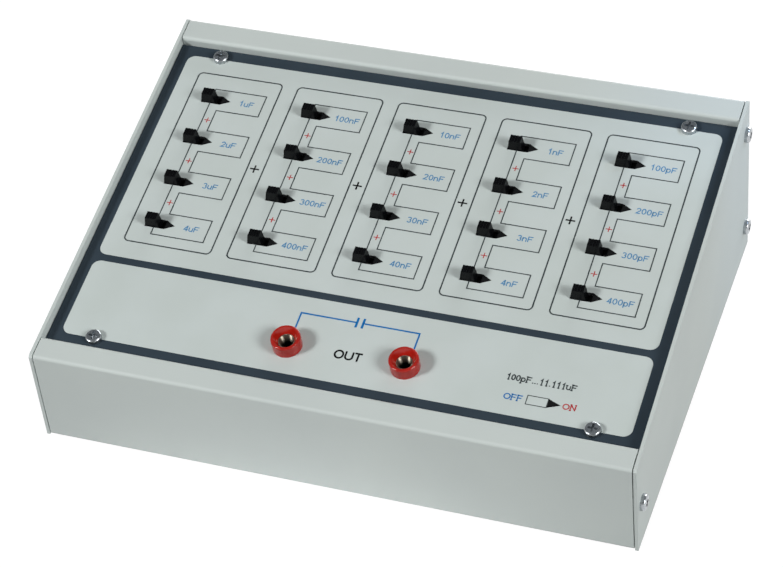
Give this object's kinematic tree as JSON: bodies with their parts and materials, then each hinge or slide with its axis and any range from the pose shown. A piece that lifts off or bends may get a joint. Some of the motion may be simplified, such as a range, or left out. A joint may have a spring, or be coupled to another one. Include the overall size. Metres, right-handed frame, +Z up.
{
  "type": "capacitance decade box",
  "caption": "Sloping sheet-metal bench box with columns of slide switches that each add a capacitor between two output sockets.",
  "frame": {"origin": "centre of the box's outline on the table, at the bottom of the rubber feet", "axes": "+X to the right seen from the front, +Y to the rear, +Z up"},
  "size_m": [0.2232, 0.1592, 0.0717],
  "materials": {
    "case_paint": "light grey satin powder coat on folded steel sheet",
    "panel_aluminium": "milled aluminium sheet",
    "overlay_film": "printed polyester film, slate border and pale grey fields",
    "zinc_screw": "bright zinc plate",
    "clinch_nut": "zinc plate",
    "foot_rubber": "matte black rubber",
    "board_laminate": "green solder mask on glass laminate",
    "switch_steel": "tin plated steel",
    "switch_phenolic": "phenolic laminate",
    "tinned_metal": "tin plate",
    "film_blue": "moulded box",
    "film_red": "moulded box",
    "film_yellow": "moulded box",
    "film_grey": "moulded box",
    "mica_brown": "dipped resin",
    "socket_red": "red moulded nylon",
    "socket_metal": "nickel plated brass",
    "lead_black": "black insulated wire",
    "lead_red": "red insulated wire",
    "slider_black": "black moulded nylon"
  },
  "bodies": {
    "case": {"base_shell": "case_paint", "left_side_plate": "case_paint", "right_side_plate": "case_paint", "front_panel": "panel_aluminium", "panel_overlay": "overlay_film", "panel_screws": "zinc_screw", "panel_nuts": "clinch_nut", "side_screws": "zinc_screw", "side_nuts": "clinch_nut", "rubber_feet": "foot_rubber", "circuit_board": "board_laminate", "board_standoffs": "clinch_nut", "board_screws": "zinc_screw", "switch_frames": "switch_steel", "switch_bases": "switch_phenolic", "switch_terminals": "tinned_metal", "microfarad_capacitors": "film_blue", "hundred_nanofarad_capacitors": "film_red", "ten_nanofarad_capacitors": "film_yellow", "nanofarad_capacitors": "film_grey", "picofarad_capacitors": "mica_brown", "left_socket_collar": "socket_red", "right_socket_collar": "socket_red", "left_socket_sleeve": "socket_metal", "right_socket_sleeve": "socket_metal", "socket_washers": "socket_red", "socket_nuts": "tinned_metal", "socket_tags": "tinned_metal", "tag_nuts": "tinned_metal", "left_lead": "lead_black", "right_lead": "lead_red"},
    "slider_a1": {"slider_a1": "slider_black"},
    "slider_a2": {"slider_a2": "slider_black"},
    "slider_a3": {"slider_a3": "slider_black"},
    "slider_a4": {"slider_a4": "slider_black"},
    "slider_b1": {"slider_b1": "slider_black"},
    "slider_b2": {"slider_b2": "slider_black"},
    "slider_b3": {"slider_b3": "slider_black"},
    "slider_b4": {"slider_b4": "slider_black"},
    "slider_c1": {"slider_c1": "slider_black"},
    "slider_c2": {"slider_c2": "slider_black"},
    "slider_c3": {"slider_c3": "slider_black"},
    "slider_c4": {"slider_c4": "slider_black"},
    "slider_d1": {"slider_d1": "slider_black"},
    "slider_d2": {"slider_d2": "slider_black"},
    "slider_d3": {"slider_d3": "slider_black"},
    "slider_d4": {"slider_d4": "slider_black"},
    "slider_e1": {"slider_e1": "slider_black"},
    "slider_e2": {"slider_e2": "slider_black"},
    "slider_e3": {"slider_e3": "slider_black"},
    "slider_e4": {"slider_e4": "slider_black"}
  },
  "joints": [
    {"name": "slider_a1_slide", "type": "slide", "parent": "case", "child": "slider_a1", "axis": [1, 0, 0], "range_m": [0, 0.002]},
    {"name": "slider_a2_slide", "type": "slide", "parent": "case", "child": "slider_a2", "axis": [1, 0, 0], "range_m": [0, 0.002]},
    {"name": "slider_a3_slide", "type": "slide", "parent": "case", "child": "slider_a3", "axis": [1, 0, 0], "range_m": [0, 0.002]},
    {"name": "slider_a4_slide", "type": "slide", "parent": "case", "child": "slider_a4", "axis": [1, 0, 0], "range_m": [0, 0.002]},
    {"name": "slider_b1_slide", "type": "slide", "parent": "case", "child": "slider_b1", "axis": [1, 0, 0], "range_m": [0, 0.002]},
    {"name": "slider_b2_slide", "type": "slide", "parent": "case", "child": "slider_b2", "axis": [1, 0, 0], "range_m": [0, 0.002]},
    {"name": "slider_b3_slide", "type": "slide", "parent": "case", "child": "slider_b3", "axis": [1, 0, 0], "range_m": [0, 0.002]},
    {"name": "slider_b4_slide", "type": "slide", "parent": "case", "child": "slider_b4", "axis": [1, 0, 0], "range_m": [0, 0.002]},
    {"name": "slider_c1_slide", "type": "slide", "parent": "case", "child": "slider_c1", "axis": [1, 0, 0], "range_m": [0, 0.002]},
    {"name": "slider_c2_slide", "type": "slide", "parent": "case", "child": "slider_c2", "axis": [1, 0, 0], "range_m": [0, 0.002]},
    {"name": "slider_c3_slide", "type": "slide", "parent": "case", "child": "slider_c3", "axis": [1, 0, 0], "range_m": [0, 0.002]},
    {"name": "slider_c4_slide", "type": "slide", "parent": "case", "child": "slider_c4", "axis": [1, 0, 0], "range_m": [0, 0.002]},
    {"name": "slider_d1_slide", "type": "slide", "parent": "case", "child": "slider_d1", "axis": [1, 0, 0], "range_m": [0, 0.002]},
    {"name": "slider_d2_slide", "type": "slide", "parent": "case", "child": "slider_d2", "axis": [1, 0, 0], "range_m": [0, 0.002]},
    {"name": "slider_d3_slide", "type": "slide", "parent": "case", "child": "slider_d3", "axis": [1, 0, 0], "range_m": [0, 0.002]},
    {"name": "slider_d4_slide", "type": "slide", "parent": "case", "child": "slider_d4", "axis": [1, 0, 0], "range_m": [0, 0.002]},
    {"name": "slider_e1_slide", "type": "slide", "parent": "case", "child": "slider_e1", "axis": [1, 0, 0], "range_m": [0, 0.002]},
    {"name": "slider_e2_slide", "type": "slide", "parent": "case", "child": "slider_e2", "axis": [1, 0, 0], "range_m": [0, 0.002]},
    {"name": "slider_e3_slide", "type": "slide", "parent": "case", "child": "slider_e3", "axis": [1, 0, 0], "range_m": [0, 0.002]},
    {"name": "slider_e4_slide", "type": "slide", "parent": "case", "child": "slider_e4", "axis": [1, 0, 0], "range_m": [0, 0.002]}
  ]
}
